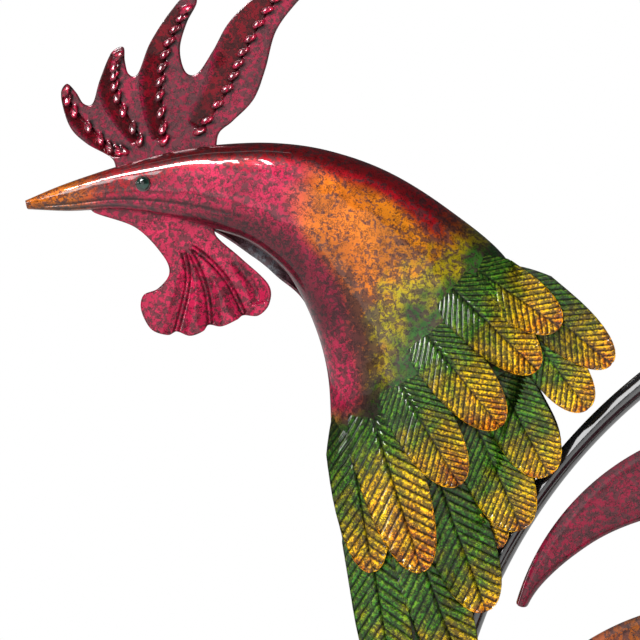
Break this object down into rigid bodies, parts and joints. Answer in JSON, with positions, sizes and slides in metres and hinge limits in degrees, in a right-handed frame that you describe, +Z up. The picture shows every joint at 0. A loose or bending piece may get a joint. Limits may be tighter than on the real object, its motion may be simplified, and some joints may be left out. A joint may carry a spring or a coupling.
{
  "type": "whirligig",
  "caption": "Painted sheet-metal rooster garden whirligig: head, comb and feather cape beside a round bar ring with a turning sickle-vane wheel, on a forked stake.",
  "frame": {"origin": "on the pole axis at ground level, where the stake meets the soil", "axes": "+X from the beak towards the wheel side, +Y to the rear, +Z up along the pole"},
  "size_m": [0.6562, 0.0836, 1.395],
  "materials": {
    "crimson_paint": "crimson lacquer over fine dark speckle, glossy",
    "neck_paint": "crimson to orange to green lacquer over fine dark speckle, glossy",
    "feather_paint": "green to gold lacquer on embossed sheet, glossy",
    "vane_paint": "crimson to orange-brown to green lacquer with dark mottling, satin gloss",
    "black_enamel": "gloss black enamel",
    "zinc_steel": "bright zinc plate",
    "eye_bead": "gloss black-green"
  },
  "bodies": {
    "frame": {"ring_frame": "black_enamel", "strut_upper": "black_enamel", "strut_lower": "black_enamel", "hub_boss": "black_enamel", "pole_socket": "black_enamel", "upper_pole": "black_enamel", "pole_coupler": "black_enamel", "lower_pole": "black_enamel", "fork_prong_left": "black_enamel", "fork_prong_right": "black_enamel", "ring_tab_upper": "black_enamel", "ring_tab_lower": "black_enamel", "axle_bolt": "zinc_steel", "rear_washer": "zinc_steel", "lock_nut": "zinc_steel", "bearing_spacer": "zinc_steel", "front_washer": "zinc_steel", "acorn_nut": "zinc_steel", "socket_screw": "zinc_steel", "coupler_screw_lower": "zinc_steel", "coupler_screw_upper": "zinc_steel", "neck_shell_front": "neck_paint", "neck_shell_back": "neck_paint", "comb": "crimson_paint", "wattle": "crimson_paint", "eye_front": "eye_bead", "eye_back": "eye_bead", "feather_01": "feather_paint", "feather_02": "feather_paint", "feather_03": "feather_paint", "feather_04": "feather_paint", "feather_05": "feather_paint", "feather_06": "feather_paint", "feather_07": "feather_paint", "feather_08": "feather_paint", "feather_09": "feather_paint", "feather_10": "feather_paint", "feather_11": "feather_paint", "feather_12": "feather_paint", "feather_13": "feather_paint", "feather_14": "feather_paint", "feather_15": "feather_paint", "feather_16": "feather_paint", "cape_back_lower": "feather_paint", "cape_back_upper": "feather_paint"},
    "wheel": {"vane_1": "vane_paint", "vane_2": "vane_paint", "vane_3": "vane_paint", "vane_4": "vane_paint", "vane_5": "vane_paint", "vane_6": "vane_paint", "vane_7": "vane_paint", "vane_8": "vane_paint", "vane_9": "vane_paint", "hub_plate_front": "vane_paint", "hub_plate_rear": "vane_paint", "hub_sleeve": "zinc_steel", "bearing_front": "zinc_steel", "bearing_rear": "zinc_steel"}
  },
  "joints": [
    {"name": "wheel_spin", "type": "hinge", "parent": "frame", "child": "wheel", "pos_m": [0, -0.0239, 0.85], "axis": [0, 1, 0], "continuous": true}
  ]
}
